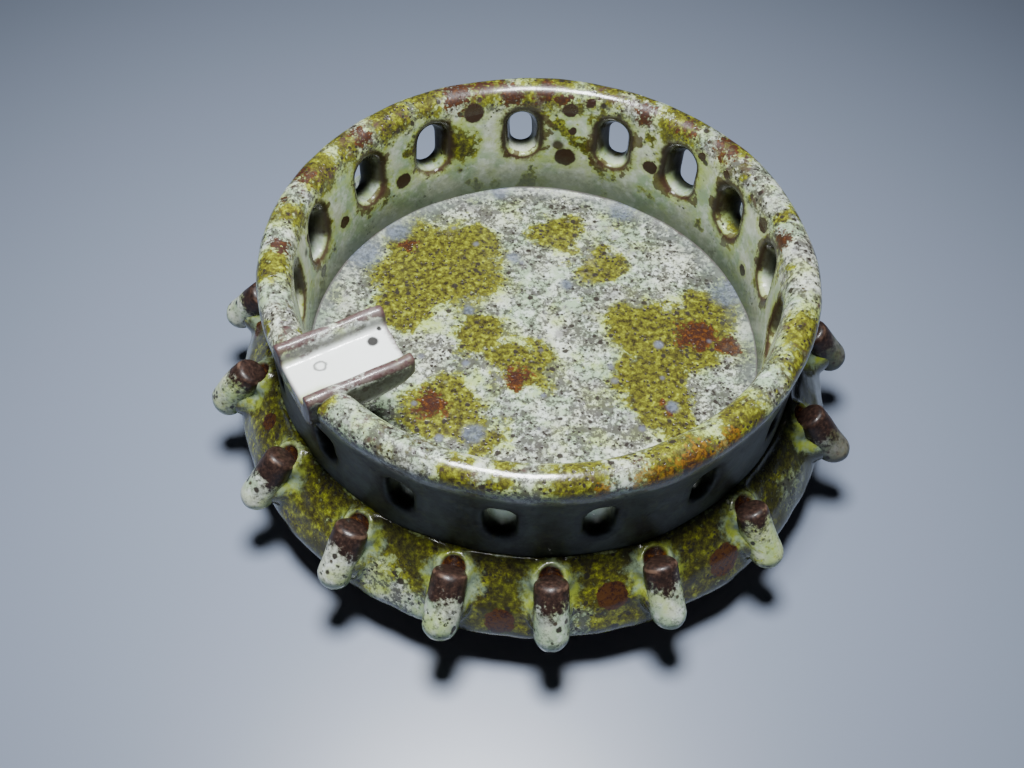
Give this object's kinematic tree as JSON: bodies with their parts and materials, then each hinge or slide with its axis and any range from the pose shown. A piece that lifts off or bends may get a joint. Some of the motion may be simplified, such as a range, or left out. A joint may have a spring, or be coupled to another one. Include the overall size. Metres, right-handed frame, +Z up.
{
  "type": "pierced stoneware dish",
  "caption": "Round glazed stoneware dish with a pierced upright wall, a sloping shoulder ring set with short round pegs, a foot ring, and a U-shaped rest let into its rim.",
  "frame": {"origin": "centre of the object's outline on the surface that its foot stands on", "axes": "+Z up along the dish's turning axis; -Y towards the front; the rest crosses the rim at 211 degrees round from +X"},
  "size_m": [0.1616, 0.1622, 0.0598],
  "materials": {
    "bare_clay": "unglazed brown stoneware, fired and wiped, with a slight tooth",
    "floor_glaze": "glossy pale mint glaze, finely speckled grey, with olive and yellow patches and rust centres",
    "shoulder_glaze": "glossy yellow-green glaze broken by dark olive and brown mottling",
    "wall_glaze": "glossy pale celadon glaze with dark round iron spots and olive runs",
    "rim_glaze": "glossy pale glaze thinned to rust, amber and yellow along the edge",
    "rest_glaze": "thick glossy white glaze, thinned to purple-brown on the ridges",
    "peg_glaze": "glossy dark brown glaze with a pale mint tip"
  },
  "bodies": {
    "root": {"foot_ring": "bare_clay", "base_dish": "floor_glaze", "shoulder_ring": "shoulder_glaze", "gallery_wall": "wall_glaze", "rolled_rim": "rim_glaze", "rest_trough": "rest_glaze", "peg_01": "peg_glaze", "peg_02": "peg_glaze", "peg_03": "peg_glaze", "peg_04": "peg_glaze", "peg_05": "peg_glaze", "peg_06": "peg_glaze", "peg_07": "peg_glaze", "peg_08": "peg_glaze", "peg_09": "peg_glaze", "peg_10": "peg_glaze", "peg_11": "peg_glaze", "peg_12": "peg_glaze", "peg_13": "peg_glaze", "peg_14": "peg_glaze", "peg_15": "peg_glaze", "peg_16": "peg_glaze", "peg_17": "peg_glaze"}
  },
  "joints": []
}
